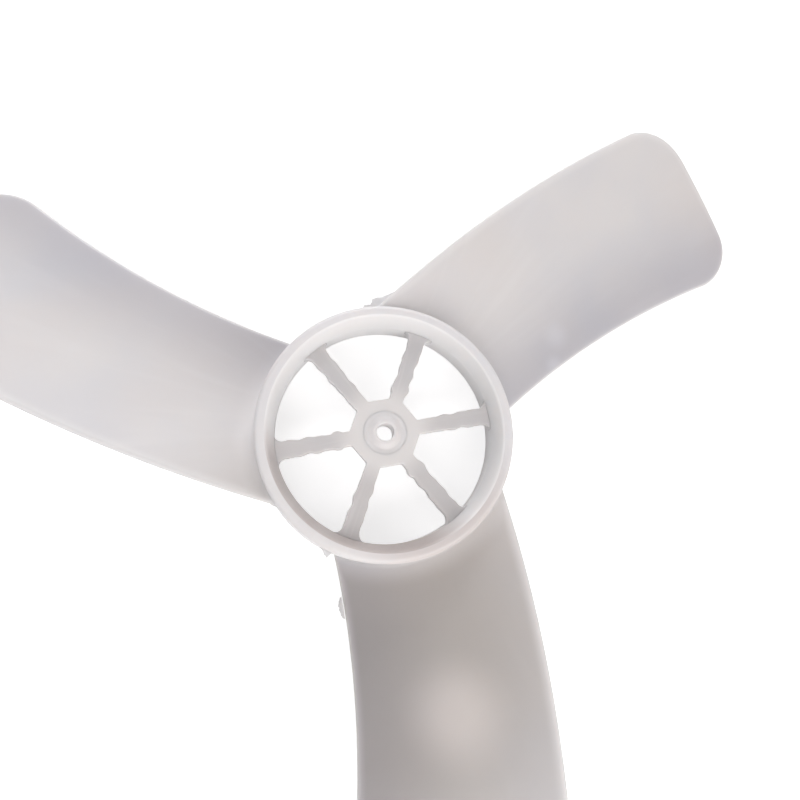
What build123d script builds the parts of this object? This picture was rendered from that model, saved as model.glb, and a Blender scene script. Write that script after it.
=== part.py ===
"""Three-bladed axial fan impeller, moulded in one piece from natural plastic.

Millimetres. The bore's axis is Z and the front of the fan faces +Z. The origin is on the axis,
in the plane of the web's front face. Angles are degrees anticlockwise seen from the front.
"""
from build123d import *
import math
import os

os.makedirs("parts", exist_ok=True)

# Shaft bore, collar and boss
bore_diameter = 8.0
collar_top_diameter = 11.0
collar_base_diameter = 15.6
collar_height = 1.5
boss_diameter = 18.0
boss_length = 7.0

# Web: centre disc, spokes, gate pads and the ribs behind the spokes
web_thickness = 4.0
disc_width = 31.0
disc_pad_diameter = 29.0
disc_pad_height = 0.2
spoke_count = 6
spoke_angle = 11.3
spoke_hub_width = 6.0
spoke_ring_width = 8.2
spoke_hub_fillet = 1.2
spoke_ring_fillet = 3.6
gate_pad_count = 3
gate_pad_diameter = 8.6
gate_pad_circle_diameter = 43.6
gate_pad_rise = 0.1
rib_thickness = 2.0
rib_hub_depth = 7.0
rib_ring_depth = 6.0

# Hub ring: a channel that is open at the back, with a sloped inner flank
ring_diameter = 117.0
ring_depth = 26.0
ring_wall = 2.4
crest_width = 5.1
crest_height = 9.0
crest_outer_fillet = 2.4
crest_inner_fillet = 1.6
ledge_diameter = 100.0
inner_wall_depth = 10.0
channel_top_height = 3.0

# Blades: outline in plan, measured along and across each blade's long axis
blade_count = 3
blade_angle = 36.0
fan_diameter = 450.0
root_station = 35.0
mid_station = 120.0
front_edge_root_offset = 51.0
front_edge_mid_offset = 58.4
front_edge_tip_offset = 53.0
rear_edge_root_offset = 29.3
rear_edge_mid_offset = 22.6
rear_edge_tip_offset = 38.0
front_corner_fillet = 30.0
rear_corner_fillet = 20.0

# Blades: thickness, and the twist, height and camber of the sheet along the long axis
blade_thickness = 2.4
root_pitch_angle = 19.5
mid_pitch_angle = 20.5
tip_pitch_angle = 17.5
root_height = -12.5
mid_height = -12.5
tip_height = -6.0
root_camber = 4.6
mid_camber = 4.0
tip_camber = 2.6
sheet_margin = 8.0
root_overlap = 1.0

ring_radius = ring_diameter / 2
ledge_radius = ledge_diameter / 2
fan_radius = fan_diameter / 2
full_height = 2 * fan_diameter

# Hub ring, turned from its channel profile
channel_outer_radius = ring_radius - ring_wall
channel_inner_radius = ledge_radius + ring_wall

with BuildPart() as ring:
    with BuildSketch(Plane.XZ) as ring_profile:
        with BuildLine():
            Polyline(
                (ledge_radius, 0),
                (ring_radius - crest_width, crest_height),
                (ring_radius, crest_height),
                (ring_radius, -ring_depth),
                (channel_outer_radius, -ring_depth),
                (channel_outer_radius, channel_top_height),
                (channel_inner_radius, 0),
                (channel_inner_radius, -inner_wall_depth),
                (ledge_radius, -inner_wall_depth),
                close=True,
            )
        make_face()
        crest = ring_profile.vertices().group_by(Axis.Y)[-1]
        fillet(crest.sort_by(Axis.X)[0], radius=crest_inner_fillet)
        crest = ring_profile.vertices().group_by(Axis.Y)[-1]
        fillet(crest.sort_by(Axis.X)[-1], radius=crest_outer_fillet)
    revolve(axis=Axis.Z)

# Web: a plate with a window between each two spokes, and a round pad on every second spoke
spoke_end = ledge_radius + ring_wall

with BuildPart() as web:
    with BuildSketch() as plate:
        Circle(ledge_radius + ring_wall / 2)
        with BuildSketch(mode=Mode.PRIVATE) as windows:
            Circle(ledge_radius)
            RegularPolygon(
                radius=disc_width / 2,
                side_count=spoke_count,
                major_radius=False,
                rotation=spoke_angle,
                mode=Mode.SUBTRACT,
            )
            with PolarLocations(0, spoke_count, start_angle=spoke_angle):
                Polygon(
                    (0, -spoke_hub_width / 2),
                    (spoke_end, -spoke_ring_width / 2),
                    (spoke_end, spoke_ring_width / 2),
                    (0, spoke_hub_width / 2),
                    align=None,
                    mode=Mode.SUBTRACT,
                )
            corners = windows.vertices().sort_by(SortBy.DISTANCE)
            fillet(corners[: 2 * spoke_count], radius=spoke_hub_fillet)
            corners = windows.vertices().sort_by(SortBy.DISTANCE)
            fillet(corners[-2 * spoke_count :], radius=spoke_ring_fillet)
        add(windows.sketch, mode=Mode.SUBTRACT)
    extrude(amount=-web_thickness)
    with BuildSketch(Plane.XY.offset(-web_thickness)):
        pad_angle = spoke_angle + 360 / spoke_count
        with PolarLocations(gate_pad_circle_diameter / 2, gate_pad_count, start_angle=pad_angle):
            Circle(gate_pad_diameter / 2)
    extrude(amount=web_thickness + gate_pad_rise)
    with BuildSketch():
        Circle(disc_pad_diameter / 2)
    extrude(amount=disc_pad_height)

# Rib behind one spoke, deepest at the boss
rib_start = boss_diameter / 2 - root_overlap

with BuildPart() as rib:
    with BuildSketch(Plane.XZ.rotated((0, 0, spoke_angle))):
        Polygon(
            (rib_start, -web_thickness / 2),
            (spoke_end - ring_wall / 2, -web_thickness / 2),
            (spoke_end - ring_wall / 2, -rib_ring_depth),
            (rib_start, -rib_hub_depth),
            align=None,
        )
    extrude(amount=rib_thickness / 2, both=True)


def blade_section(station, pitch_angle, height, camber):
    """Draw the blade's cross-section: a strip of even thickness along a circular arc, hollow side
    to the front, tilted by the pitch about the blade's long axis."""
    half_chord = (front_edge_mid_offset + rear_edge_tip_offset) / 2
    arc_radius = (half_chord**2 + camber**2) / (2 * camber)
    half_angle = math.degrees(math.asin((half_chord + sheet_margin) / arc_radius))
    middle_offset = (front_edge_mid_offset - rear_edge_tip_offset) / 2
    middle = Vector(middle_offset, height + middle_offset * math.tan(math.radians(pitch_angle)))
    centre = middle + Vector(0, arc_radius - camber).rotate(Axis.Z, pitch_angle)
    section_plane = Plane(
        origin=Vector(station, 0, 0).rotate(Axis.Z, blade_angle),
        x_dir=Vector(0, 1, 0).rotate(Axis.Z, blade_angle),
        z_dir=Vector(1, 0, 0).rotate(Axis.Z, blade_angle),
    )
    with BuildSketch(section_plane) as section:
        with BuildLine():
            start = pitch_angle - 90 - half_angle
            back = CenterArc(centre, arc_radius + blade_thickness / 2, start, 2 * half_angle)
            front = CenterArc(centre, arc_radius - blade_thickness / 2, start, 2 * half_angle)
            Line(back @ 0, front @ 0)
            Line(back @ 1, front @ 1)
        make_face()
    return section.sketch


# One blade: a twisted, cambered sheet cut to its outline in plan
plan = Plane(
    origin=(0, 0, -fan_diameter),
    x_dir=Vector(1, 0, 0).rotate(Axis.Z, blade_angle),
    z_dir=(0, 0, 1),
)
front_tip_station = math.sqrt(fan_radius**2 - front_edge_tip_offset**2)
rear_tip_station = math.sqrt(fan_radius**2 - rear_edge_tip_offset**2)

with BuildPart() as blade:
    loft(
        sections=[
            blade_section(root_station, root_pitch_angle, root_height, root_camber),
            blade_section(mid_station, mid_pitch_angle, mid_height, mid_camber),
            blade_section(fan_radius + sheet_margin, tip_pitch_angle, tip_height, tip_camber),
        ]
    )
    with BuildSketch(plan) as outline:
        with BuildLine():
            front_edge = ThreePointArc(
                (root_station, front_edge_root_offset),
                (mid_station, front_edge_mid_offset),
                (front_tip_station, front_edge_tip_offset),
            )
            rear_edge = ThreePointArc(
                (root_station, -rear_edge_root_offset),
                (mid_station, -rear_edge_mid_offset),
                (rear_tip_station, -rear_edge_tip_offset),
            )
            ThreePointArc(front_edge @ 1, (fan_radius, 0), rear_edge @ 1)
            Line(rear_edge @ 0, front_edge @ 0)
        make_face()
        fillet(outline.vertices().sort_by_distance(rear_edge @ 1)[0], radius=rear_corner_fillet)
        fillet(outline.vertices().sort_by_distance(front_edge @ 1)[0], radius=front_corner_fillet)
    extrude(amount=full_height, mode=Mode.INTERSECT)
    Cylinder(radius=ring_radius - root_overlap, height=full_height, mode=Mode.SUBTRACT)

# The whole moulding
with BuildPart() as impeller:
    add(ring.part)
    with PolarLocations(0, blade_count):
        add(blade.part)
    add(web.part)
    with PolarLocations(0, spoke_count):
        add(rib.part)
    with Locations((0, 0, -boss_length / 2)):
        Cylinder(radius=boss_diameter / 2, height=boss_length)
    with Locations((0, 0, disc_pad_height + collar_height / 2)):
        Cone(
            bottom_radius=collar_base_diameter / 2,
            top_radius=collar_top_diameter / 2,
            height=collar_height,
        )
    Hole(radius=bore_diameter / 2)

impeller.part.label = "impeller"
export_step(impeller.part, "parts/impeller.step")
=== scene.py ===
"""Looks of a one-piece, three-bladed axial fan impeller moulded in milky natural plastic.

Metres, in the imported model's frame. The shaft bore's axis is Z, the front of the fan faces +Z, and the
origin lies in the plane of the web's front face. Angles are anticlockwise seen from the front.
"""

import logging
import math
from dataclasses import dataclass, field
from enum import Enum
from functools import cached_property

import bmesh
import bpy
import numpy as np
import numpy.typing as npt
from mathutils import Euler, Matrix, Vector


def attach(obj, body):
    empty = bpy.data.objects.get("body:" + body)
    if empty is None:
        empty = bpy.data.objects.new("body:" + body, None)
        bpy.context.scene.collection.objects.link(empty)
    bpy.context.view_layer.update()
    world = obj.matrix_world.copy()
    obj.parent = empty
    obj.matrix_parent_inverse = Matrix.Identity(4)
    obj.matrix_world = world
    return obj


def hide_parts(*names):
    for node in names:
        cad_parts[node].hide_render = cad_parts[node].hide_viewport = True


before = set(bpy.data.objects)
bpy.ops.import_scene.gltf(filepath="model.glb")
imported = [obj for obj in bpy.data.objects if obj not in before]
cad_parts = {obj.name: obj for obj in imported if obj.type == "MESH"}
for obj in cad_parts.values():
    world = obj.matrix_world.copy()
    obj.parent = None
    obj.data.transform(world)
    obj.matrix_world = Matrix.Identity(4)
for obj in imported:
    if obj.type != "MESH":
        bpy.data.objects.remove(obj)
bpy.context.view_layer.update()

Array = npt.NDArray[np.float64]
Pair = tuple[float, float]
Triple = tuple[float, float, float]
Color = tuple[float, float, float]
Place = tuple[float, float, float]
Socket = bpy.types.NodeSocket

BODY = "root"
NODE = "impeller"
CORNER_STEPS = 7
WHITE = (1.0, 1.0, 1.0)
log = logging.getLogger("impeller")


class Side(Enum):
    """Which of a circle pair's two crossings is meant, seen from the first centre to the second."""

    LEFT = 1
    RIGHT = -1


class Mark(Enum):
    """Numbers that a mesh keeps for its finish's painted light and painted shade, by their attribute's name.
    """

    EDGE = "edge_nearness"
    SHADE = "thin_shade"


def unit(vectors: Array) -> Array:
    """Scale vectors, held along the last axis, to length one."""
    return vectors / np.linalg.norm(vectors, axis=-1, keepdims=True)


def circle_through(points: Array) -> tuple[Array, float]:
    """Find the circle through three points of a plane.

    Formula: the centre is as far from the first point as from each of the others, which is one straight-line
    equation for each of them.

    Args:
        points: Three points, one a row.

    Returns:
        The circle's centre and its radius.
    """
    rows = 2 * (points[1:] - points[0])
    sums = np.sum(points[1:] ** 2, axis=1) - np.sum(points[0] ** 2)
    centre = np.linalg.solve(rows, sums)
    return centre, float(np.linalg.norm(points[0] - centre))


def crossing(centre: Array, radius: float | Array, other: Array, other_radius: float, side: Side) -> Array:
    """Find where two circles cross.

    Formula: along the line of centres, the crossing lies (r1 squared - r2 squared + d squared) / 2d from the
    first centre, and Pythagoras gives how far it lies to the side.

    Args:
        centre: The first circle's centre.
        radius: The first circle's radius, or an array of radii.
        other: The second circle's centre.
        other_radius: The second circle's radius.
        side: Which of the two crossings is meant.

    Returns:
        The crossing for each radius, one a row.
    """
    radius = np.atleast_1d(radius)
    span = other - centre
    distance = float(np.linalg.norm(span))
    along = span / distance
    across = np.array([-along[1], along[0]]) * side.value
    reach = (radius**2 - other_radius**2 + distance**2) / (2 * distance)
    height = np.sqrt(np.maximum(radius**2 - reach**2, 0))
    return centre + reach[:, None] * along + height[:, None] * across


def rounded_outline(corners: Array, radii: Array) -> Array:
    """Round each corner of a closed outline with a circular arc.

    Formula: with half-angle h between a corner's two sides, the arc's centre lies radius / sin(h) from the
    corner along their bisector, and the arc turns evenly from one side's normal to the other's.

    Args:
        corners: The outline's corners in order, one a row.
        radii: Each corner's radius.

    Returns:
        The rounded outline's points, one a row.
    """
    before = unit(np.roll(corners, 1, axis=0) - corners)
    after = unit(np.roll(corners, -1, axis=0) - corners)
    half = np.arccos(np.clip(np.sum(before * after, axis=1), -1, 1)) / 2
    centres = corners + unit(before + after) * (radii / np.sin(half))[:, None]
    first = unit(corners + before * (radii / np.tan(half))[:, None] - centres)
    last = unit(corners + after * (radii / np.tan(half))[:, None] - centres)
    turn = (math.pi - 2 * half)[:, None, None]
    share = np.linspace(0, 1, CORNER_STEPS)[None, :, None]
    bearings = np.sin((1 - share) * turn) * first[:, None] + np.sin(share * turn) * last[:, None]
    return (centres[:, None] + radii[:, None, None] * (bearings / np.sin(turn))).reshape(-1, 2)


def arc(centre: Array, start: Array, end: Array, steps: int) -> Array:
    """Sample the shorter arc between two points of a circle at even angles.

    Formula: the point at angle a is the centre plus the radius times (cos a, sin a).

    Args:
        centre: The circle's centre.
        start: The arc's first point.
        end: The arc's last point.
        steps: How many points are wanted.

    Returns:
        The arc's points, one a row.
    """
    first = math.atan2(*(start - centre)[::-1])
    last = math.atan2(*(end - centre)[::-1])
    turn = (last - first + math.pi) % (2 * math.pi) - math.pi
    angles = first + turn * np.linspace(0, 1, steps)
    radius = np.linalg.norm(start - centre)
    return centre + radius * np.stack([np.cos(angles), np.sin(angles)], axis=1)


def filled(points: Array, gap: float) -> Array:
    """Add points to a chain of points wherever two neighbours are further apart than a gap.

    Formula: a run between two neighbours is cut into length / gap even steps, rounded up.

    Args:
        points: The chain's points, one a row.
        gap: The widest gap that may stay.

    Returns:
        The chain with evenly spaced points added in its wide gaps.
    """
    lengths = np.linalg.norm(np.diff(points, axis=0), axis=1)
    counts = np.maximum(np.ceil(lengths / gap).astype(int), 1)
    start = np.repeat(np.arange(len(counts)), counts)
    share = (np.arange(counts.sum()) - np.repeat(np.cumsum(counts) - counts, counts)) / counts[start]
    between = points[start] + (points[start + 1] - points[start]) * share[:, None]
    return np.concatenate([between, points[-1:]])


def wavering(share: Array, waves: Pair, starts: Pair) -> Array:
    """Add two sines of a share, each with its own speed and start in radians."""
    return sum(np.sin(wave * share + start) for wave, start in zip(waves, starts))


def turned(grid: Array, angle: float) -> Array:
    """Turn a grid of points about the bore's axis.

    Formula: a point (x, y, z) goes to (x cos a - y sin a, x sin a + y cos a, z).

    Args:
        grid: The points, along the last axis.
        angle: The angle in radians.

    Returns:
        The turned points.
    """
    x, y, z = np.moveaxis(grid, -1, 0)
    sine, cosine = math.sin(angle), math.cos(angle)
    return np.stack([x * cosine - y * sine, x * sine + y * cosine, z], axis=-1)


def revolved(profile: Array, segments: int) -> Array:
    """Turn a closed profile about the bore's axis.

    Formula: each profile point (r, z) becomes (r cos a, r sin a, z) for evenly spaced angles a.

    Args:
        profile: The profile's radius and height, one point a row.
        segments: How many steps go round.

    Returns:
        A grid of points, with angles along its rows and the profile along its columns.
    """
    angles = np.linspace(0, 2 * math.pi, segments, endpoint=False)[:, None]
    radius, height = profile[None, :, 0], profile[None, :, 1]
    return np.stack([radius * np.cos(angles), radius * np.sin(angles), height + 0 * angles], axis=-1)


@dataclass
class Shell:
    """Grids of points that are welded into one closed mesh.

    Points nearer than the weld distance become one, edges under a tenth of it go, and edges that bend by
    more than the crease stay sharp.
    """

    weld_distance: float = 2e-6
    crease: float = math.radians(50)
    points: list[Array] = field(default_factory=list)
    quads: list[Array] = field(default_factory=list)
    marks: dict[Mark, list[Array]] = field(default_factory=lambda: {mark: [] for mark in Mark})
    count: int = 0

    def add(
        self, grid: Array, ring: bool = False, loop: bool = False, marks: dict[Mark, Array] | None = None
    ) -> None:
        """Add a grid and the quads between its neighbouring points.

        Args:
            grid: Points in rows and columns.
            ring: Whether the last row joins the first.
            loop: Whether the last column joins the first.
            marks: Numbers for each point, kept in the mesh for the finish to read. A missing one is zero.
        """
        rows, columns = grid.shape[:2]
        index = np.arange(rows * columns).reshape(rows, columns)
        if ring:
            index = np.vstack([index, index[:1]])
        if loop:
            index = np.hstack([index, index[:, :1]])
        corners = [index[:-1, :-1], index[:-1, 1:], index[1:, 1:], index[1:, :-1]]
        self.quads.append(np.stack(corners, axis=-1).reshape(-1, 4) + self.count)
        self.points.append(grid.reshape(-1, 3))
        for mark, numbers in self.marks.items():
            given = (marks or {}).get(mark, 0.0)
            numbers.append(np.broadcast_to(given, (rows, columns)).ravel())
        self.count += rows * columns

    def build(self, name: str, material: bpy.types.Material) -> None:
        """Weld the grids into a piece with outward faces that rides on the body and stands for the node.

        Args:
            name: The piece's name.
            material: The finish that the piece takes.
        """
        mesh = bpy.data.meshes.new(name)
        mesh.from_pydata(np.concatenate(self.points), [], np.concatenate(self.quads))
        for mark, numbers in self.marks.items():
            layer = mesh.attributes.new(mark.value, "FLOAT", "POINT")
            layer.data.foreach_set("value", np.concatenate(numbers).astype(np.float32))
        work = bmesh.new()
        work.from_mesh(mesh)
        bmesh.ops.remove_doubles(work, verts=work.verts, dist=self.weld_distance)
        bmesh.ops.dissolve_degenerate(work, edges=work.edges, dist=self.weld_distance / 10)
        bmesh.ops.recalc_face_normals(work, faces=work.faces)
        work.to_mesh(mesh)
        work.free()
        mesh.polygons.foreach_set("use_smooth", np.ones(len(mesh.polygons), dtype=bool))
        mesh.set_sharp_from_angle(angle=self.crease)
        mesh.materials.append(material)
        piece = bpy.data.objects.new(name, mesh)
        bpy.context.scene.collection.objects.link(piece)
        weighted = piece.modifiers.new("even_normals", "WEIGHTED_NORMAL")
        weighted.keep_sharp = True
        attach(piece, BODY)
        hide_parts(NODE)
        log.info("%s: %d faces", name, len(mesh.polygons))


@dataclass(frozen=True)
class Pattern:
    """Noise in the plastic: its features' size in metres, its detail, and the span of it that counts."""

    size: float
    detail: float
    span: Pair


@dataclass(frozen=True)
class NodeBench:
    """A material's node tree with short ways to add nodes to it."""

    tree: bpy.types.NodeTree

    def node(self, kind: str, **settings: object) -> bpy.types.Node:
        """Add a node.

        Args:
            kind: The node's type.
            settings: Values for its properties.

        Returns:
            The new node.
        """
        made = self.tree.nodes.new(kind)
        for name, value in settings.items():
            setattr(made, name, value)
        return made

    def join(self, source: Socket, target: Socket) -> None:
        """Link an output to an input."""
        self.tree.links.new(source, target)

    def measure(self, operation: str, place: Socket) -> bpy.types.Node:
        """Add a sum that measures a place.

        Args:
            operation: What is measured, such as a length or a distance.
            place: The place's output.

        Returns:
            The new node.
        """
        made = self.node("ShaderNodeVectorMath", operation=operation)
        self.join(place, made.inputs[0])
        return made

    def combine(self, operation: str, first: Socket, second: Socket) -> Socket:
        """Add a sum of two numbers.

        Args:
            operation: How they are combined.
            first: The first number's output.
            second: The second number's output.

        Returns:
            The result's output.
        """
        made = self.node("ShaderNodeMath", operation=operation)
        self.join(first, made.inputs[0])
        self.join(second, made.inputs[1])
        return made.outputs["Value"]

    def noise(self, place: Socket, pattern: Pattern) -> Socket:
        """Add a pattern's noise.

        Args:
            place: The coordinates at which it is read.
            pattern: The pattern.

        Returns:
            The noise's output, from 0 to 1.
        """
        made = self.node("ShaderNodeTexNoise")
        made.inputs["Scale"].default_value = 1 / pattern.size
        made.inputs["Detail"].default_value = pattern.detail
        self.join(place, made.inputs["Vector"])
        return made.outputs["Fac"]

    def spread(self, value: Socket, span: Pair, to: Pair) -> Socket:
        """Carry a value from one range to another with a soft ramp, kept within it.

        Args:
            value: The value's output.
            span: The range that it is read over.
            to: What it becomes at the range's two ends.

        Returns:
            The new value's output.
        """
        made = self.node("ShaderNodeMapRange", interpolation_type="SMOOTHSTEP")
        made.inputs["From Min"].default_value = span[0]
        made.inputs["From Max"].default_value = span[1]
        made.inputs["To Min"].default_value = to[0]
        made.inputs["To Max"].default_value = to[1]
        self.join(value, made.inputs["Value"])
        return made.outputs["Result"]

    def share(self, place: Socket, pattern: Pattern, most: float) -> Socket:
        """Turn a pattern's noise into a share from 0 to the most that it may be."""
        return self.spread(self.noise(place, pattern), pattern.span, (0.0, most))

    def mark(self, mark: Mark, most: float) -> Socket:
        """Read a mesh's own number, softened and brought to a range from 0 to a share."""
        made = self.node("ShaderNodeAttribute", attribute_name=mark.value)
        return self.spread(made.outputs["Fac"], (0.0, 1.0), (0.0, most))

    def blend(self, share: Socket, first: Color | Socket, second: Color | Socket) -> Socket:
        """Mix two colours.

        Args:
            share: The second colour's share, from 0 to 1.
            first: The first colour or its output.
            second: The second colour or its output.

        Returns:
            The mixed colour's output.
        """
        made = self.node("ShaderNodeMix", data_type="RGBA")
        self.join(share, made.inputs["Factor"])
        for socket, source in ((made.inputs[6], first), (made.inputs[7], second)):
            if isinstance(source, Socket):
                self.join(source, socket)
            else:
                socket.default_value = (*source, 1.0)
        return made.outputs[2]

    def dim(self, share: Socket | None, tint: Socket, color: Color) -> Socket:
        """Multiply a colour by another.

        Args:
            share: How far, from 0 to 1, or nothing for wholly.
            tint: The first colour's output.
            color: The colour that it is multiplied by.

        Returns:
            The dimmed colour's output.
        """
        made = self.node("ShaderNodeMix", data_type="RGBA", blend_type="MULTIPLY")
        made.inputs["Factor"].default_value = 1.0
        if share is not None:
            self.join(share, made.inputs["Factor"])
        self.join(tint, made.inputs[6])
        made.inputs[7].default_value = (*color, 1.0)
        return made.outputs[2]


@dataclass(frozen=True)
class SoftSpot:
    """A soft round spot laid into a colour: wholly its own colour within one distance and gone beyond
    another. Most of these spots are painted shade and painted highlights.
    """

    place: Place
    reach: Pair
    color: Color
    share: float

    def over(self, bench: NodeBench, place: Socket, tint: Socket) -> Socket:
        """Lay the spot over a tint.

        Args:
            bench: The material's bench.
            place: The piece's own coordinates.
            tint: The colour so far.

        Returns:
            The colour with the cloud in it.
        """
        distance = bench.measure("DISTANCE", place)
        distance.inputs[1].default_value = self.place
        share = bench.spread(distance.outputs["Value"], self.reach, (self.share, 0.0))
        return bench.blend(share, tint, self.color)


@dataclass(frozen=True)
class MilkyPlastic:
    """Natural, slightly see-through moulded plastic: clouded, with faint flow lines, with painted light and
    painted highlights along its edges, and with painted shade where its marks say.

    Thick plastic looks whiter than thin, so each thickness has its own density, by which all its colours dim.
    """

    name: str
    density: float
    body: Color = (0.885, 0.86, 0.855)
    haze: Color = (0.83, 0.82, 0.84)
    haze_pattern: Pattern = Pattern(0.05, 2.0, (0.35, 0.7))
    haze_share: float = 0.8
    warm: Color = (0.875, 0.83, 0.81)
    warm_pattern: Pattern = Pattern(0.09, 1.0, (0.45, 0.7))
    warm_share: float = 0.7
    flow_pattern: Pattern = Pattern(0.07, 2.0, (0.5, 0.75))
    flow_share: float = 0.15
    # Soft spots laid into the colour, most of them painted shade and painted highlights
    soft_spots: tuple[SoftSpot, ...] = ()
    # Pale colour of the flow streaks and of the painted light, and the painted light's share
    pale_streak_and_painted_light: Color = (1.0, 0.98, 0.97)
    painted_light_share: float = 0.5
    # Colour by which painted shade dims
    painted_shade_color: Color = (0.79, 0.79, 0.825)
    grain_pattern: Pattern = Pattern(0.0018, 3.0, (0.3, 0.7))
    grain_depth: float = 0.00002
    grain_strength: float = 0.5
    roughness: Pair = (0.34, 0.46)
    scatter_share: float = 0.8
    scatter_depth: float = 0.004
    scatter_color: Color = (1.0, 0.94, 0.9)
    specular: float = 0.4
    refraction: float = 1.49

    def build(self) -> bpy.types.Material:
        """Make the material.

        Returns:
            A material whose colour, roughness and grain follow the piece's own coordinates and marks.
        """
        material = bpy.data.materials.new(self.name)
        material.use_nodes = True
        bench = NodeBench(material.node_tree)
        shader = material.node_tree.nodes["Principled BSDF"]
        place = bench.node("ShaderNodeTexCoord").outputs["Object"]
        tint = bench.blend(bench.share(place, self.haze_pattern, self.haze_share), self.body, self.haze)
        tint = bench.blend(bench.share(place, self.warm_pattern, self.warm_share), tint, self.warm)
        tint = bench.blend(self.flow(bench, place), tint, self.pale_streak_and_painted_light)
        # Soft spots, mostly painted shade and painted highlights, then painted light and painted shade from
        # the mesh's marks
        for soft_spot in self.soft_spots:
            tint = soft_spot.over(bench, place, tint)
        tint = bench.blend(bench.mark(Mark.EDGE, self.painted_light_share), tint, self.pale_streak_and_painted_light)
        tint = bench.dim(bench.mark(Mark.SHADE, 1.0), tint, self.painted_shade_color)
        tint = bench.dim(None, tint, (self.density,) * 3)
        bench.join(tint, shader.inputs["Base Color"])
        grain = bench.noise(place, self.grain_pattern)
        bench.join(bench.spread(grain, self.grain_pattern.span, self.roughness), shader.inputs["Roughness"])
        bump = bench.node("ShaderNodeBump")
        bump.inputs["Strength"].default_value = self.grain_strength
        bump.inputs["Distance"].default_value = self.grain_depth
        bench.join(grain, bump.inputs["Height"])
        bench.join(bump.outputs["Normal"], shader.inputs["Normal"])
        shader.inputs["Subsurface Weight"].default_value = self.scatter_share
        shader.inputs["Subsurface Scale"].default_value = self.scatter_depth
        shader.inputs["Subsurface Radius"].default_value = self.scatter_color
        shader.inputs["Specular IOR Level"].default_value = self.specular
        shader.inputs["IOR"].default_value = self.refraction
        return material

    def flow(self, bench: NodeBench, place: Socket) -> Socket:
        """Add faint streaks that run outwards from the hub, as the plastic flowed.

        Formula: noise is read at (angle round the bore, a slow share of the distance from it), so it changes
        quickly round the part and slowly along it.

        Args:
            bench: The material's bench.
            place: The piece's own coordinates.

        Returns:
            The streaks' strength, from 0 to a small share.
        """
        parts = bench.node("ShaderNodeSeparateXYZ")
        bench.join(place, parts.inputs["Vector"])
        polar = bench.node("ShaderNodeCombineXYZ")
        bench.join(bench.combine("ARCTAN2", parts.outputs["Y"], parts.outputs["X"]), polar.inputs["X"])
        bench.join(bench.measure("LENGTH", place).outputs["Value"], polar.inputs["Y"])
        return bench.share(polar.outputs["Vector"], self.flow_pattern, self.flow_share)


@dataclass(frozen=True)
class PaleFloor:
    """Pale studio floor that looks white, keeps the object's shadow and fades to pure white further off."""

    name: str = "pale_floor"
    color: Color = (0.82, 0.82, 0.82)
    lift: float = 0.62
    fade: Pair = (0.4, 1.1)

    def build(self) -> bpy.types.Material:
        """Make the material.

        Returns:
            A matt material, lifted to white for the rays that show it and plain for the light that it
            throws back.
        """
        material = bpy.data.materials.new(self.name)
        material.use_nodes = True
        bench = NodeBench(material.node_tree)
        shader = material.node_tree.nodes["Principled BSDF"]
        shader.inputs["Base Color"].default_value = (*self.color, 1.0)
        shader.inputs["Roughness"].default_value = 1.0
        shader.inputs["Specular IOR Level"].default_value = 0.0
        distance = bench.measure("LENGTH", bench.node("ShaderNodeTexCoord").outputs["Object"])
        lift = bench.spread(distance.outputs["Value"], self.fade, (self.lift, 1.0))
        shader.inputs["Emission Color"].default_value = (*WHITE, 1.0)
        bench.join(bench.combine("MULTIPLY", seen_rays(bench), lift), shader.inputs["Emission Strength"])
        return material


def seen_rays(bench: NodeBench) -> Socket:
    """Tell the rays that show a surface from those that light others by it.

    Args:
        bench: The node tree's bench.

    Returns:
        One for camera, glossy and transmission rays, and zero for the rest.
    """
    rays = bench.node("ShaderNodeLightPath").outputs
    seen = bench.combine("MAXIMUM", rays["Is Camera Ray"], rays["Is Glossy Ray"])
    return bench.combine("MAXIMUM", seen, rays["Is Transmission Ray"])


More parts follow.
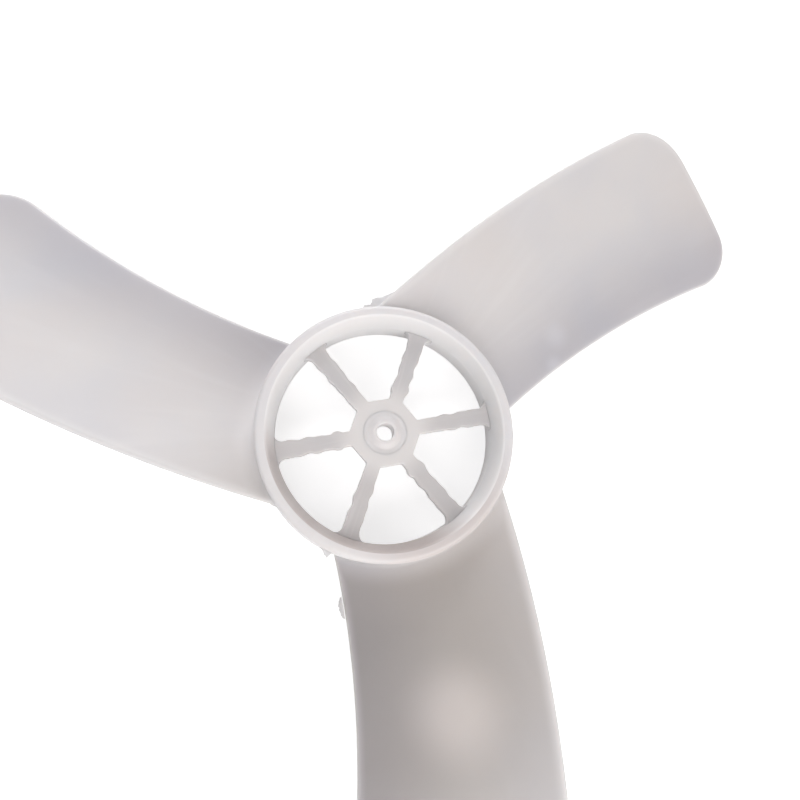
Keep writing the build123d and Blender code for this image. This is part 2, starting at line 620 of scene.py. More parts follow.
@dataclass
class HubRing:
    """The hub ring: a channel open at the back, with a sloped flank inside its crest."""

    radius: float = 0.0585
    depth: float = 0.026
    wall: float = 0.0024
    crest_width: float = 0.0051
    crest_height: float = 0.009
    crest_outer_round: float = 0.0024
    crest_inner_round: float = 0.0016
    ledge_radius: float = 0.050
    ledge_round: float = 0.0004
    inner_wall_depth: float = 0.010
    channel_top: float = 0.003
    foot_round: float = 0.0006
    clearance: float = 0.0002
    painted_shade_angle: float = math.radians(245)
    painted_shade_gain: float = 2.0
    painted_shade_cut: float = 0.6
    segments: int = 288

    @property
    def foot(self) -> float:
        """Height, just above the ring's rear rim, below which nothing else reaches."""
        return self.clearance - self.depth

    def profile(self) -> Array:
        """Draw the ring's section, given as rows of radius, height and rounding.

        Returns:
            The section's radius and height, one point a row, starting where the inner flank meets the web.
        """
        channel_outer = self.radius - self.wall
        channel_inner = self.ledge_radius + self.wall
        channel_round = self.wall / 3
        section = np.array([
            (self.ledge_radius, 0.0, self.ledge_round),
            (self.radius - self.crest_width, self.crest_height, self.crest_inner_round),
            (self.radius, self.crest_height, self.crest_outer_round),
            (self.radius, -self.depth, self.foot_round),
            (channel_outer, -self.depth, self.foot_round),
            (channel_outer, self.channel_top, channel_round),
            (channel_inner, 0.0, channel_round),
            (channel_inner, -self.inner_wall_depth, self.foot_round),
            (self.ledge_radius, -self.inner_wall_depth, self.foot_round),
        ])
        return rounded_outline(section[:, :2], section[:, 2])

    def build(self, material: bpy.types.Material) -> None:
        """Turn the section about the bore's axis, with painted light on its thick inner flank and painted
        shade on one side of that flank instead.

        Formula: the painted shade is a gain times the cosine of the angle from its middle, less a cut, kept
        from 0 to 1.

        Args:
            material: The finish.
        """
        profile = self.profile()
        flank = np.abs(profile[:, 0] - (self.ledge_radius + self.radius - self.crest_width) / 2)
        thick = (flank < self.wall) & (profile[:, 1] > -self.ledge_round)
        angles = np.linspace(0, 2 * math.pi, self.segments, endpoint=False)
        # Painted shade on one side of the inner flank; the rest of the flank gets painted light
        painted_shade_by_angle = np.clip(self.painted_shade_gain * np.cos(angles - self.painted_shade_angle) - self.painted_shade_cut, 0, 1)
        painted_shade_on_flank = thick[None] * painted_shade_by_angle[:, None]
        marks = {Mark.EDGE: thick[None] - painted_shade_on_flank, Mark.SHADE: painted_shade_on_flank}
        shell = Shell()
        shell.add(revolved(profile, self.segments), ring=True, loop=True, marks=marks)
        shell.build("hub_ring", material)


@dataclass
class Web:
    """The flat web: a six-sided centre disc and six spokes that flare into the ring.

    Every second spoke swells round a gate pad, where the plastic was fed in. The spokes' sides waver.
    """

    ring: HubRing
    thickness: float = 0.004
    disc_width: float = 0.031
    spokes: int = 6
    angle: float = math.radians(11.3)
    hub_width: float = 0.006
    ring_width: float = 0.0082
    hub_fillet: float = 0.0012
    ring_fillet: float = 0.0036
    pad_radius: float = 0.0043
    pad_distance: float = 0.0218
    pad_fillet: float = 0.0015
    edge_round: float = 0.0005
    inner_radius: float = 0.0065
    rim_cover: float = 0.0002
    unevenness: float = 0.00024
    waves: Pair = (19.0, 31.0)
    wave_step: float = 1.7
    calm_share: float = 0.1
    side_gap: float = 0.0006
    flat_steps: int = 9
    hub_steps: int = 9
    pad_steps: int = 13
    pad_fillet_steps: int = 7
    ring_steps: int = 13
    ledge_steps: int = 17
    section_steps: int = 6

    @property
    def rim_radius(self) -> float:
        """Radius of the windows' outer sides, which lie just inside the ring's wall."""
        return self.ring.ledge_radius + self.rim_cover

    @property
    def overlap_radius(self) -> float:
        """Radius, inside the ring's wall, where the web ends."""
        return self.ring.ledge_radius + self.ring.wall / 2

    @property
    def angles(self) -> Array:
        """The spokes' angles in radians."""
        return self.angle + 2 * math.pi * np.arange(self.spokes) / self.spokes

    def swelling(self, normal: Array, along: Array, reach: float) -> Array:
        """Draw a spoke's side where it swells round a gate pad.

        Formula: each fillet's centre lies a fillet's radius off the side and a pad's and a fillet's radius
        from the pad's centre, so Pythagoras gives how far along the side it is.

        Args:
            normal: The side's outward normal.
            along: The side's direction, away from the hub.
            reach: The side's distance from the bore's axis.

        Returns:
            The points of a fillet, the pad's rim and the other fillet.
        """
        centre = np.array([self.pad_distance, 0.0])
        height = reach + self.pad_fillet - centre @ normal
        span = math.sqrt((self.pad_radius + self.pad_fillet) ** 2 - height**2)
        foot = centre + normal * height
        first, last = foot - along * span, foot + along * span
        rim_start = centre + unit(first - centre) * self.pad_radius
        rim_end = centre + unit(last - centre) * self.pad_radius
        return np.concatenate([
            arc(first, first - normal * self.pad_fillet, rim_start, self.pad_fillet_steps),
            arc(centre, rim_start, rim_end, self.pad_steps)[1:-1],
            arc(last, rim_end, last - normal * self.pad_fillet, self.pad_fillet_steps),
        ])

    def half_window(self, padded: bool) -> tuple[Array, Array]:
        """Draw the edge of half a window beside a spoke that lies along +X, and the line that it faces.

        Formula: the edge is the disc's flat, a fillet, the spoke's side, a fillet and the ring's ledge. Each
        fillet's centre is where its two sides cross when both are shifted into the window by its radius.

        Args:
            padded: Whether the spoke has a gate pad.

        Returns:
            The edge's points, and for each the point that it faces on the web's centre hole, the spoke's
            middle or the ring's wall.
        """
        half_turn = math.pi / self.spokes
        flat_normal = np.array([math.cos(half_turn), math.sin(half_turn)])
        slope = (self.ring_width - self.hub_width) / 2 / (self.ring.ledge_radius + self.ring.wall)
        side_normal = unit(np.array([-slope, 1.0]))
        side_reach = side_normal[1] * self.hub_width / 2
        normals = np.array([flat_normal, side_normal])
        shifts = np.array([self.disc_width / 2 + self.hub_fillet, side_reach + self.hub_fillet])
        hub_centre = np.linalg.solve(normals, shifts)
        along = np.array([side_normal[1], -side_normal[0]])
        reach = side_reach + self.ring_fillet
        inner = self.rim_radius - self.ring_fillet
        ring_centre = side_normal * reach + along * math.sqrt(inner**2 - reach**2)
        flat_middle = flat_normal * self.disc_width / 2
        hub_start = hub_centre - flat_normal * self.hub_fillet
        hub_end = hub_centre - side_normal * self.hub_fillet
        ring_start = ring_centre - side_normal * self.ring_fillet
        ring_end = unit(ring_centre) * self.rim_radius
        flat = flat_middle + (hub_start - flat_middle) * np.linspace(0, 1, self.flat_steps)[:, None]
        side = [hub_end[None], ring_start[None]]
        if padded:
            side.insert(1, self.swelling(side_normal, along, side_reach))
        hub_arc = arc(hub_centre, hub_start, hub_end, self.hub_steps)
        ring_arc = arc(ring_centre, ring_start, ring_end, self.ring_steps)
        ledge = arc(np.zeros(2), ring_end, flat_normal * self.rim_radius, self.ledge_steps)[1:]
        long_side = filled(np.concatenate(side), self.side_gap)
        straight = np.concatenate([hub_arc[1:-1], long_side, ring_arc[1:]])
        facing = self.faced(flat, straight @ along, (hub_start @ along, ring_end @ along), ledge)
        return np.concatenate([flat, straight, ledge]), facing

    def faced(self, flat: Array, reached: Array, reach: Pair, ledge: Array) -> Array:
        """Give each point of the edge a partner on the centre hole, the spoke's middle or the ring's wall.

        Formula: on the hole and on the wall the partners lie at even angles between the window's middle and
        the spoke's. Along the spoke they are as far out as their points, stretched to end at hole and wall.

        Args:
            flat: The points of the disc's flat.
            reached: How far along the spoke each point of its side lies.
            reach: The first and the last of these distances.
            ledge: The points on the ring's ledge, without their first.

        Returns:
            The partners, one a row.
        """
        half_turn = math.pi / self.spokes
        hole = half_turn * (1 - np.linspace(0, 1, len(flat)))
        wall = half_turn * np.linspace(0, 1, len(ledge) + 1)[1:]
        middle = np.interp(reached, reach, [self.inner_radius, self.overlap_radius])
        return np.concatenate([
            self.inner_radius * np.stack([np.cos(hole), np.sin(hole)], axis=1),
            np.stack([middle, 0 * middle], axis=1),
            self.overlap_radius * np.stack([np.cos(wall), np.sin(wall)], axis=1),
        ])

    def half_spoke(self, padded: bool, phase: float) -> tuple[Array, Array, Array]:
        """Carry a rounded section along the edge of half a window, whose long side wavers.

        Formula: the side moves out by the sum of two sines of the distance from the bore, times a half wave
        that is zero over the calm share next to the hub and at the ring.

        Args:
            padded: Whether the spoke has a gate pad.
            phase: Where the sines start, in radians.

        Returns:
            The half's grid, and its front and rear borders on the centre hole and on the ring's wall.
        """
        edge, facing = self.half_window(padded)
        step = np.gradient(edge, axis=0)
        outward = unit(np.stack([-step[:, 1], step[:, 0]], axis=1))
        outward[[0, -1]] = unit(edge[[0, -1]] - facing[[0, -1]])
        start, end = self.disc_width / 2, self.ring.ledge_radius
        share = (np.linalg.norm(edge, axis=1) - start) / (end - start)
        swell = np.sin(math.pi * np.clip((1 + self.calm_share) * share - self.calm_share, 0, 1))
        waver = self.unevenness * wavering(share, self.waves, (phase, 2 * phase)) * swell
        inset = edge + outward * (waver - self.edge_round)[:, None]
        across = np.linspace(0, 1, self.section_steps)[None, :, None]
        face = facing[:, None] + (inset - facing)[:, None] * across
        turn = np.linspace(0, math.pi / 2, self.section_steps)[1:]
        rim = inset[:, None] + outward[:, None] * (self.edge_round * np.sin(turn))[None, :, None]
        rim_height = self.edge_round * (np.cos(turn) - 1)
        plan = np.concatenate([face, rim, rim[:, ::-1], face[:, ::-1]], axis=1)
        height = np.concatenate([
            np.zeros(self.section_steps),
            rim_height,
            -self.thickness - rim_height[::-1],
            np.full(self.section_steps, -self.thickness),
        ])
        half = np.concatenate([plan, np.broadcast_to(height[None, :, None], (*plan.shape[:2], 1))], axis=2)
        distance = np.linalg.norm(facing, axis=1)
        borders = half[:, [0, -1]]
        on_hole = np.isclose(distance, self.inner_radius)
        on_wall = np.isclose(distance, self.overlap_radius)
        return half, borders[on_hole], borders[on_wall]

    def build(self, material: bpy.types.Material) -> None:
        """Weld the two halves of every spoke into one plate.

        Args:
            material: The finish.
        """
        shell = Shell()
        for k, angle in enumerate(self.angles):
            for mirror in (1, -1):
                for grid in self.half_spoke(padded=k % 2 == 1, phase=self.wave_step * k + mirror):
                    shell.add(turned(grid * np.array([1, mirror, 1]), angle))
        shell.build("spoked_web", material)


@dataclass
class ShaftBoss:
    """The boss behind the web, and before it the cone-shaped collar round the bore with its low, wide foot.

    The foot slopes into the web, and what joins it to the boss is hidden inside the web.
    """

    bore_radius: float = 0.004
    bore_front_round: float = 0.0005
    bore_rear_round: float = 0.0004
    radius: float = 0.009
    length: float = 0.007
    rear_round: float = 0.0008
    collar_top_radius: float = 0.0055
    collar_base_radius: float = 0.0078
    collar_height: float = 0.0015
    collar_top_round: float = 0.0010
    collar_base_round: float = 0.0020
    foot_radius: float = 0.0100
    foot_height: float = 0.0001
    foot_slope: float = 0.0010
    foot_round: float = 0.0015
    hidden_depth: float = 0.0035
    hidden_rounds: Triple = (0.0001, 0.0004, 0.0002)
    segments: int = 128

    def build(self, material: bpy.types.Material) -> None:
        """Turn the boss's section, given as rows of radius, height and rounding, about the bore's axis.

        Args:
            material: The finish.
        """
        top = self.foot_height + self.collar_height
        foot_start, foot_end = self.foot_radius - self.foot_slope, self.foot_radius + self.foot_slope
        section = np.array([
            (self.bore_radius, top, self.bore_front_round),
            (self.collar_top_radius, top, self.collar_top_round),
            (self.collar_base_radius, self.foot_height, self.collar_base_round),
            (foot_start, self.foot_height, self.foot_round),
            (foot_end, -self.foot_height, self.hidden_rounds[0]),
            (self.foot_radius, -self.hidden_depth, self.hidden_rounds[1]),
            (self.radius, -self.hidden_depth, self.hidden_rounds[2]),
            (self.radius, -self.length, self.rear_round),
            (self.bore_radius, -self.length, self.bore_rear_round),
        ])
        outline = rounded_outline(section[:, :2], section[:, 2])
        shell = Shell()
        shell.add(revolved(outline, self.segments), ring=True, loop=True)
        shell.build("shaft_boss", material)


@dataclass
class Ribs:
    """The ribs behind the spokes, deepest at the boss."""

    web: Web
    boss: ShaftBoss
    thickness: float = 0.002
    hub_depth: float = 0.007
    ring_depth: float = 0.006
    overlap: float = 0.001
    edge_round: float = 0.0005
    steps: int = 30

    def build(self, material: bpy.types.Material) -> None:
        """Carry a rounded strip along each spoke.

        Formula: the strip's section is a rounded oblong whose foot goes in a straight line from the depth at
        the boss to the depth at the ring.

        Args:
            material: The finish.
        """
        half = self.thickness / 2
        corners = np.array([(-half, 0.0), (half, 0.0), (half, 1.0), (-half, 1.0)])
        top = -self.web.thickness / 2
        stations = np.linspace(self.boss.radius - self.overlap, self.web.overlap_radius, self.steps)
        share = (stations - stations[0]) / (stations[-1] - stations[0])
        depth = -(self.hub_depth + (self.ring_depth - self.hub_depth) * share)
        loop = rounded_outline(corners * [1, -self.hub_depth], np.full(4, self.edge_round))
        foot = loop[:, 1] < -self.hub_depth / 2
        from_foot = np.where(foot, loop[:, 1] + self.hub_depth, 0)
        height = np.where(foot[None], depth[:, None] + from_foot[None], top + loop[None, :, 1])
        grid = np.stack(np.broadcast_arrays(stations[:, None], loop[None, :, 0], height), axis=-1)
        shell = Shell()
        for angle in self.web.angles:
            strip = turned(grid, angle)
            shell.add(strip, loop=True)
            for end in (strip[0], strip[-1]):
                shell.add(np.stack([end, np.broadcast_to(end.mean(axis=0), end.shape)]), loop=True)
        shell.build("stiffening_ribs", material)


@dataclass(frozen=True)
class LongEdge:
    """One long edge of a blade in plan: an arc that is rounded into the tip circle.

    Stations run along the blade's long axis, which is +X, and offsets across it.
    """

    stations: Pair
    offsets: Triple
    corner: float
    tip_radius: float

    @cached_property
    def circle(self) -> tuple[Array, float]:
        """Find the edge's circle from its offsets at the root, the middle and the tip.

        Formula: the tip circle has an offset at the station sqrt(tip radius squared - offset squared).

        Returns:
            The circle's centre and its radius.
        """
        tip_station = math.sqrt(self.tip_radius**2 - self.offsets[2] ** 2)
        stations = (*self.stations, tip_station)
        return circle_through(np.array(list(zip(stations, self.offsets))))

    @cached_property
    def hollow(self) -> bool:
        """Whether the edge curves into the blade, so that its circle lies beside the blade."""
        centre, _ = self.circle
        return centre[1] * self.offsets[1] > self.offsets[1] ** 2

    @cached_property
    def corner_centre(self) -> Array:
        """Find the centre of the tip corner's circle.

        Formula: that circle touches the tip circle from inside and the edge's circle from the blade's side,
        so its centre is where those two cross once each is shifted by the corner's radius. Of the two
        crossings the one near the tip counts.

        Returns:
            The centre.
        """
        centre, radius = self.circle
        shifted = radius + self.corner if self.hollow else radius - self.corner
        reach = self.tip_radius - self.corner
        found = [crossing(np.zeros(2), reach, centre, shifted, side)[0] for side in Side]
        return max(found, key=lambda point: point[0])

    @cached_property
    def touch(self) -> Array:
        """Find where the edge's arc goes over into the corner's, on the line through both centres."""
        centre, radius = self.circle
        return centre + unit(self.corner_centre - centre) * radius

    def bearings(self, radius: Array) -> Array:
        """Find the edge's angle from the long axis at each distance from the bore.

        Formula: a circle round the bore crosses the edge's circle up to the point where the corner starts,
        and the corner's circle from there on. Of the edge's two crossings the one nearer to that point
        counts, and of the corner's the outer one.

        Args:
            radius: Distances from the bore's axis.

        Returns:
            The angles in radians.
        """
        found = []
        for middle, size in (self.circle, (self.corner_centre, self.corner)):
            both = [crossing(np.zeros(2), radius, middle, size, side) for side in Side]
            found.append(np.stack([np.arctan2(point[:, 1], point[:, 0]) for point in both]))
        on_edge, on_corner = found
        away = np.abs(on_edge - math.atan2(*self.touch[::-1]))
        on_edge = np.where(away[0] < away[1], on_edge[0], on_edge[1])
        on_corner = on_corner.max(axis=0) if self.offsets[0] > 0 else on_corner.min(axis=0)
        return np.where(radius < np.linalg.norm(self.touch), on_edge, on_corner)

    def inset(self, points: Array) -> Array:
        """Give each point's distance from this edge, its corner and the tip, counted into the blade.

        Formula: a point is in the corner's care when the step to it from the corner's centre is a positive
        mix of the steps to the two places where the corner's arc starts and ends.

        Args:
            points: Points of the plan, along the last axis.

        Returns:
            The distances, below zero outside the blade.
        """
        centre, radius = self.circle
        from_edge = np.linalg.norm(points - centre, axis=-1) - radius
        from_edge = from_edge if self.hollow else -from_edge
        from_tip = self.tip_radius - np.linalg.norm(points, axis=-1)
        steps = points - self.corner_centre
        ends = np.stack([unit(self.touch - self.corner_centre), unit(self.corner_centre)], axis=1)
        in_corner = np.all(steps @ np.linalg.inv(ends).T > 0, axis=-1)
        rounded = self.corner - np.linalg.norm(steps, axis=-1)
        return np.where(in_corner, rounded, np.minimum(from_edge, from_tip))


@dataclass
class Blades:
    """The swept blades: each is a twisted, cambered sheet with rounded edges that flares into the hub ring.

    The first is worked out along +X. Stations run along its long axis and offsets across it, towards the
    front edge. Pitches and angles are in degrees.
    """

    ring: HubRing
    count: int = 3
    angle: float = 36.0
    tip_radius: float = 0.2249
    root_overlap: float = 0.001
    stations: Triple = (0.035, 0.120, 0.233)
    pitch: Triple = (19.5, 20.5, 17.5)
    height: Triple = (-0.0125, -0.0125, -0.006)
    camber: Triple = (0.0046, 0.004, 0.0026)
    front_offsets: Triple = (0.051, 0.0584, 0.053)
    rear_offsets: Triple = (-0.0293, -0.0226, -0.038)
    front_corner: float = 0.030
    rear_corner: float = 0.020
    thickness: float = 0.0024
    edge_width: float = 0.0018
    root_fillet: float = 0.0028
    # Where the painted shade ends, how far the painted light reaches from the ring, and the painted
    # highlight's width
    shade_end: float = 0.6
    root_painted_light_reach: float = 0.012
    highlight_band: float = 0.0045
    root_rows: int = 10
    trunk_rows: int = 90
    tip_rows: int = 48
    rim_columns: int = 8
    columns: int = 66
    nudge: float = 1e-5
    least_inwards: float = 1e-3

    @cached_property
    def edges(self) -> tuple[LongEdge, LongEdge]:
        """Set out a blade's two long edges.

        Returns:
            The rear edge and the front edge.
        """
        stations = self.stations[:2]
        return (
            LongEdge(stations, self.rear_offsets, self.rear_corner, self.tip_radius),
            LongEdge(stations, self.front_offsets, self.front_corner, self.tip_radius),
        )

    def along(self, values: Triple, station: Array) -> Array:
        """Carry three values, given at the stations, along the blade by the parabola through them."""
        return np.polyval(np.polyfit(self.stations, values, 2), station)

    def surface(self, station: Array, offset: Array) -> Array:
        """Give the height of the sheet's middle.

        Formula: each section is an arc of radius (half chord squared + camber squared) / twice the camber.
        Its centre stands over the chord's middle by the radius less the camber, leaned over by the pitch.

        Args:
            station: Distance along the blade's long axis.
            offset: Distance across it.

        Returns:
            The height along Z.
        """
        pitch = np.radians(self.along(self.pitch, station))
        camber = self.along(self.camber, station)
        half_chord = (self.front_offsets[1] - self.rear_offsets[2]) / 2
        middle = (self.front_offsets[1] + self.rear_offsets[2]) / 2
        radius = (half_chord**2 + camber**2) / (2 * camber)
        centre_offset = middle - (radius - camber) * np.sin(pitch)
        centre_height = self.along(self.height, station) + middle * np.tan(pitch)
        centre_height = centre_height + (radius - camber) * np.cos(pitch)
        return centre_height - np.sqrt(radius**2 - (offset - centre_offset) ** 2)

    def rows(self) -> Array:
        """Choose the distances from the bore at which a blade is worked out, closest at root and tip.

        Formula: in the root's fillet and in the tip's corner they are spaced as a quarter circle's points
        are, and evenly between the two.

        Returns:
            The distances, from inside the ring's wall to the tip.
        """
        turn = np.linspace(0, math.pi / 2, self.root_rows)
        root = self.ring.radius + self.root_fillet * (1 - np.cos(turn))
        trunk_end = self.tip_radius - self.front_corner
        trunk = np.linspace(root[-1], trunk_end, self.trunk_rows)[1:]
        tip = trunk_end + self.front_corner * np.sin(np.linspace(0, math.pi / 2, self.tip_rows))[1:]
        return np.concatenate([[self.ring.radius - self.root_overlap], root, trunk, tip])

    def plan(self, radius: Array) -> tuple[Array, Array]:
        """Lay out the sheet as a grid of distance from the bore and share of the way to the front edge.

        Formula: columns crowd near both edges as a quarter circle's points do, within the edge's width or at
        most a quarter of the blade's, and are even between.

        Args:
            radius: The rows' distances from the bore.

        Returns:
            The grid's shares, from the rear edge to the front edge, and its points.
        """
        rear, front = (edge.bearings(radius) for edge in self.edges)
        rim = self.edge_width * (1 - np.cos(np.linspace(0, math.pi / 2, self.rim_columns)))
        width = (front - rear) * radius
        near = rim[None, :] / np.maximum(width, 4 * self.edge_width)[:, None]
        middle = np.linspace(0, 1, self.columns)[None, 1:-1]
        inner = near[:, -1:] + (1 - 2 * near[:, -1:]) * middle
        share = np.concatenate([near, inner, 1 - near[:, ::-1]], axis=1)
        bearing = rear[:, None] + (front - rear)[:, None] * share
        return share, radius[:, None, None] * np.stack([np.cos(bearing), np.sin(bearing)], axis=-1)

    def normals(self, plan: Array, height: Array) -> Array:
        """Find the sheet's upward normals.

        Formula: with slopes p along the long axis and q across it, the normal is (-p, -q, 1) at length one.
        Each slope is the rise over a small nudge.

        Args:
            plan: The grid's points in plan.
            height: The sheet's height there.

        Returns:
            The normals.
        """
        slopes = [
            (self.surface(*np.moveaxis(plan + step, -1, 0)) - height) / self.nudge
            for step in self.nudge * np.eye(2)
        ]
        return unit(np.stack([-slopes[0], -slopes[1], np.ones_like(height)], axis=-1))

    def faces(self) -> tuple[tuple[Array, Array], dict[Mark, Array]]:
        """Work out the first blade's front and back.

        Formula: each point lies half the thickness from the sheet's middle along its normal, less near the
        outline by a quarter ellipse, and more near the ring by a quarter circle. Painted shade grows from the
        middle to the rear edge, a painted highlight runs along the outline, and painted light near the ring
        lightens the ring's shadow on the blade.

        Returns:
            The front's and the back's grid, and the marks of both.
        """
        radius = self.rows()
        share, plan = self.plan(radius)
        height = self.surface(plan[..., 0], plan[..., 1])
        out = np.clip(radius - self.ring.radius, 0, self.root_fillet)
        flare = self.root_fillet - np.sqrt(self.root_fillet**2 - (self.root_fillet - out) ** 2)
        inset = np.minimum(*(edge.inset(plan) for edge in self.edges))
        inwards = np.clip(inset / self.edge_width, self.least_inwards, 1)
        inwards[:, [0, -1]] = 0
        inwards[-1] = 0
        half = self.thickness / 2 * np.sqrt(1 - (1 - inwards) ** 2) + flare[:, None] * np.sqrt(inwards)
        middle = np.concatenate([plan, height[..., None]], axis=-1)
        lift = half[..., None] * self.normals(plan, height)
        # Painted shade towards the rear edge; painted highlight along the outline and painted light near the
        # ring
        shade = np.clip(1 - share / self.shade_end, 0, 1) * inwards
        near_ring = np.clip(1 - (radius - self.ring.radius) / self.root_painted_light_reach, 0, 1)
        painted_light_level = np.maximum(np.clip(1 - inset / self.highlight_band, 0, 1), near_ring[:, None])
        front, back = middle + lift, middle - lift
        for face in (front, back):
            face[..., 2] = np.maximum(face[..., 2], self.ring.foot)
        return (front, back), {Mark.EDGE: painted_light_level, Mark.SHADE: shade}

    def build(self, material: bpy.types.Material) -> None:
        """Turn the first blade's faces to each blade's angle and weld them along their outline and root.

        Args:
            material: The finish.
        """
        faces, marks = self.faces()
        for k in range(self.count):
            angle = math.radians(self.angle + 360 / self.count * k)
            shell = Shell()
            for face in faces:
                shell.add(turned(face, angle), marks=marks)
            shell.add(turned(np.stack([face[0] for face in faces]), angle))
            shell.build(f"blade_{k + 1}", material)


@dataclass
class Flash:
    """A thin rag of plastic that was squeezed out between the mould's halves and is still on the moulding."""

    name: str
    foot: tuple[Place, ...]
    rim: tuple[Place, ...]
    thickness: float = 0.0009
    raggedness: float = 0.00025
    waves: Pair = (37.0, 61.0)
    wave_starts: Pair = (0.0, 1.0)
    rows: int = 60
    columns: int = 12

    @staticmethod
    def sampled(line: tuple[Place, ...], share: Array) -> Array:
        """Read a chain of straight runs at shares of its count of points."""
        knots = np.linspace(0, 1, len(line))
        return np.stack([np.interp(share, knots, column) for column in zip(*line)], axis=1)

    def build(self, material: bpy.types.Material) -> None:
        """Carry a thin strip from its foot, inside the moulding, to its free rim.

        Formula: each row is a straight line from a point of the foot to the same share of the rim, which
        wavers by the sum of two sines. Its thickness is a half circle along the strip times a quarter circle
        across.

        Args:
            material: The finish.
        """
        share = np.linspace(0, 1, self.rows)
        across = np.linspace(0, 1, self.columns)
        foot, rim = (self.sampled(line, share) for line in (self.foot, self.rim))
        waver = self.raggedness * wavering(share, self.waves, self.wave_starts) * np.sin(math.pi * share)
        rim = rim + unit(rim - foot) * waver[:, None]
        middle = foot[:, None] + (rim - foot)[:, None] * across[None, :, None]
        swell = np.sqrt(np.maximum(1 - (2 * share - 1) ** 2, 0))[:, None] * np.sqrt(1 - across**2)[None]
        swell[:, 0] = 0
        shell = Shell()
        for way in (1, -1):
            face = middle.copy()
            face[..., 2] += way * swell * self.thickness / 2
            shell.add(face)
        shell.build(self.name, material)


@dataclass(frozen=True)
class SoftLamp:
    """A square soft lamp that faces the hub from a direction in degrees, with its side and power in watts."""

    name: str
    azimuth: float
    elevation: float
    size: float
    power: float
    color: Color
    distance: float = 1.3

    def hang(self) -> None:
        """Put the lamp in its place, facing the hub.

        Formula: from its distance along +X it is raised by its elevation and then turned by its azimuth.
        """
        light = bpy.data.lights.new(self.name, "AREA")
        light.shape = "SQUARE"
        light.size = self.size
        light.energy = self.power
        light.color = self.color
        lamp = bpy.data.objects.new(self.name, light)
        lamp.location = Vector((self.distance, 0, 0))
        lamp.location.rotate(Euler((0, -math.radians(self.elevation), math.radians(self.azimuth))))
        lamp.rotation_euler = lamp.location.to_track_quat("Z", "Y").to_euler()
        bpy.context.scene.collection.objects.link(lamp)


@dataclass
class Studio:
    """The pale floor, the soft lamps, the world and the camera."""

    floor_size: float = 2.6
    camera_tilt: float = -0.2282
    camera_swing: float = 0.1503
    camera_shift: Place = (-0.00679, -0.01479, -0.29752)
    camera_clearance: float = 0.01
    lens: float = 29.25
    sensor: float = 36.0
    sky: float = 0.005
    warm_light: Color = (1.0, 0.98, 0.975)
    cool_light: Color = (0.985, 0.98, 1.0)

    @property
    def lamps(self) -> tuple[SoftLamp, ...]:
        """Set out the lamps round the object.

        Returns:
            Two warm lamps, before the object and on its right, and two cool ones, on its left and behind it.
        """
        return (
            SoftLamp("front_lamp", azimuth=285, elevation=35, size=1.2, power=14.7, color=self.warm_light),
            SoftLamp("right_lamp", azimuth=350, elevation=20, size=1.0, power=4.0, color=self.warm_light),
            SoftLamp("left_lamp", azimuth=180, elevation=50, size=1.8, power=8.8, color=self.cool_light),
            SoftLamp("rear_lamp", azimuth=90, elevation=18, size=1.0, power=12.6, color=self.cool_light),
        )

    def floor(self, level: float, material: bpy.types.Material) -> None:
        """Lay the floor, which isn't part of the object.

        Args:
            level: Its height.
            material: Its finish.
        """
        edge = self.floor_size / 2
        corners = [(x * edge, y * edge, level) for x, y in ((-1, -1), (1, -1), (1, 1), (-1, 1))]
        mesh = bpy.data.meshes.new("studio_floor")
        mesh.from_pydata(corners, [], [(0, 1, 2, 3)])
        mesh.materials.append(material)
        piece = bpy.data.objects.new("studio_floor", mesh)
        bpy.context.scene.collection.objects.link(piece)

    def world(self) -> None:
        """Make the world white to the camera and a soft, even light to the object."""
        world = bpy.data.worlds.new("studio_world")
        world.use_nodes = True
        bench = NodeBench(world.node_tree)
        background = world.node_tree.nodes["Background"]
        background.inputs["Color"].default_value = (*WHITE, 1.0)
        strength = bench.spread(seen_rays(bench), (0.0, 1.0), (self.sky, 1.0))
        bench.join(strength, background.inputs["Strength"])
        bpy.context.scene.world = world

    def camera(self) -> None:
        """Stand the camera where the photograph was taken from.

        Formula: in the camera's frame a point of the object is Rx(tilt) Ry(swing) point + shift, so the
        camera's own place and turn are the inverse of that.
        """
        data = bpy.data.cameras.new("camera")
        data.lens = self.lens
        data.sensor_width = self.sensor
        data.sensor_fit = "HORIZONTAL"
        data.clip_start = self.camera_clearance
        camera = bpy.data.objects.new("camera", data)
        bpy.context.scene.collection.objects.link(camera)
        turn = Matrix.Rotation(self.camera_tilt, 4, "X") @ Matrix.Rotation(self.camera_swing, 4, "Y")
        camera.matrix_world = (Matrix.Translation(self.camera_shift) @ turn).inverted()
        bpy.context.scene.camera = camera

    def build(self, level: float) -> None:
        """Set up the whole studio.

        Args:
            level: The floor's height.
        """
        self.floor(level, PaleFloor().build())
        for lamp in self.lamps:
            lamp.hang()
        self.world()
        self.camera()
        bpy.context.scene.view_settings.view_transform = "Standard"


# The finishes: the ring and the flash, the boss, the web with its ribs, and the blades
THICK = MilkyPlastic(
    "thick_plastic",
    density=0.905,
    # Painted light on the ring's inner flank
    painted_light_share=0.85,
    scatter_depth=0.006,
    # Colour of the painted shade on one side of the ring's inner flank
    painted_shade_color=(0.70, 0.655, 0.635),
    # Painted shade: a darker spot over the ring's lower right
    soft_spots=(SoftSpot((0.035, -0.050, 0.0), reach=(0.015, 0.055), color=(0.72, 0.67, 0.655), share=0.8),),
)
HUB = MilkyPlastic(
    "hub_plastic",
    density=0.90,
    scatter_depth=0.002,
    haze=(0.875, 0.85, 0.845),
    warm=(0.88, 0.845, 0.83),
)
PLATE = MilkyPlastic(
    "plate_plastic",
    density=0.91,
    scatter_depth=0.002,
    body=(0.73, 0.705, 0.70),
    haze=(0.69, 0.68, 0.695),
    warm=(0.72, 0.685, 0.67),
    soft_spots=(SoftSpot((0.0, 0.0, 0.0), reach=(0.013, 0.027), color=(0.885, 0.857, 0.842), share=1.0),),
)
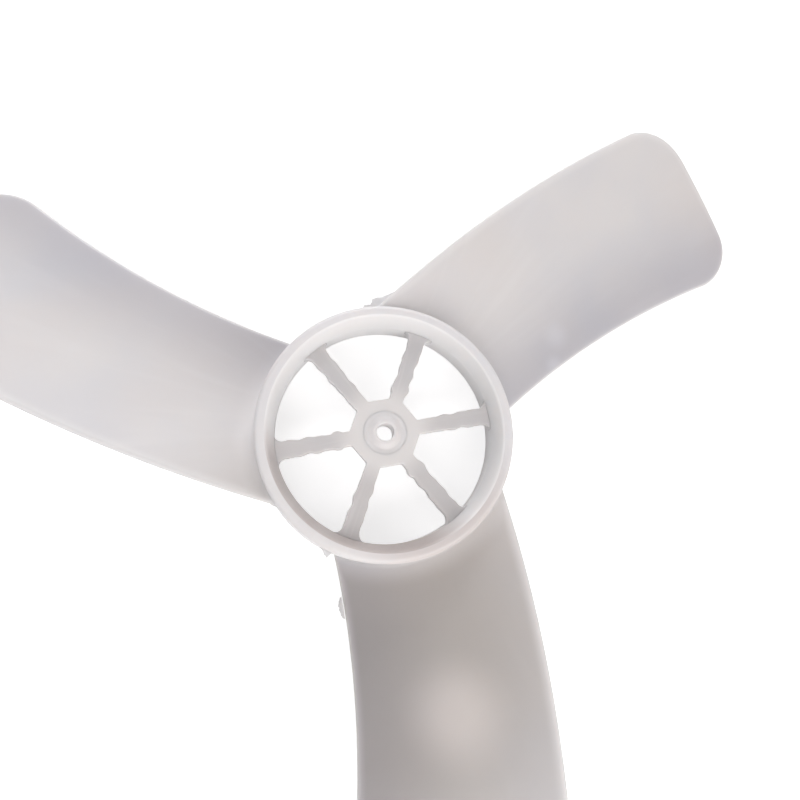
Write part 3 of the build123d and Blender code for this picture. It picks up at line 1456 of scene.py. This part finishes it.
# The blades' soft spots: painted shade darkening the lower blade, a pale patch in it, and two painted
# highlights in the upper one
SHEET = MilkyPlastic(
    "sheet_plastic",
    density=0.81,
    # Painted highlight along the blades' outline and painted light near the ring
    painted_light_share=0.6,
    soft_spots=(
        SoftSpot((-0.012, -0.095, -0.012), reach=(0.045, 0.13), color=(0.575, 0.53, 0.495), share=0.85),
        SoftSpot((0.034, -0.122, -0.009), reach=(0.004, 0.030), color=(0.95, 0.885, 0.85), share=0.65),
        SoftSpot((0.0924, 0.0574, -0.0193), reach=(0.0, 0.010), color=(1.0, 0.99, 1.0), share=0.6),
        SoftSpot((0.0918, 0.0425, -0.0226), reach=(0.0, 0.007), color=(1.0, 0.99, 1.0), share=0.8),
    ),
)

# The rags of flash, each from its foot inside the moulding to its free rim
FLASHES = (
    Flash(
        "flash_at_blade_root",
        foot=(
            (-0.0119, 0.0545, 0.005), (-0.0070, 0.0565, 0.003), (0.0010, 0.0610, 0.0),
            (0.0113, 0.0712, -0.006),
        ),
        rim=(
            (-0.0134, 0.0552, 0.007), (-0.0121, 0.0572, 0.0060), (-0.0110, 0.0592, 0.0055),
            (-0.0097, 0.0597, 0.005), (-0.0077, 0.0602, 0.004), (-0.0072, 0.0631, 0.002),
            (-0.0048, 0.0652, 0.001), (-0.0012, 0.0663, -0.001), (0.0016, 0.0687, -0.002),
            (0.0073, 0.0716, -0.004), (0.0111, 0.0742, -0.006),
        ),
    ),
    Flash(
        "flash_under_ring",
        foot=((-0.0280, -0.0506, 0.001), (-0.0252, -0.0520, -0.003), (-0.0222, -0.0534, -0.005)),
        rim=(
            (-0.0284, -0.0514, 0.001), (-0.0270, -0.0528, -0.003), (-0.0262, -0.0546, -0.006),
            (-0.0248, -0.0560, -0.007), (-0.0242, -0.0552, -0.006), (-0.0228, -0.0540, -0.005),
        ),
    ),
    Flash(
        "flash_on_blade_edge",
        foot=((-0.0172, -0.0735, -0.0205), (-0.0163, -0.0777, -0.0205), (-0.0153, -0.0831, -0.0205)),
        rim=(
            (-0.0178, -0.0735, -0.0215), (-0.0184, -0.0755, -0.0218), (-0.0186, -0.0777, -0.0219),
            (-0.0179, -0.0800, -0.0218), (-0.0168, -0.0825, -0.0215), (-0.0160, -0.0831, -0.0212),
        ),
    ),
)


def main() -> None:
    """Build the pieces in order, dress them and light them."""
    thick, hub, plate, sheet = (finish.build() for finish in (THICK, HUB, PLATE, SHEET))
    ring = HubRing()
    ring.build(thick)
    web = Web(ring)
    web.build(plate)
    boss = ShaftBoss()
    boss.build(hub)
    Ribs(web, boss).build(plate)
    Blades(ring).build(sheet)
    for flash in FLASHES:
        flash.build(thick)
    Studio().build(-ring.depth)


if __name__ == "__main__":
    logging.basicConfig(level=logging.INFO)
    main()
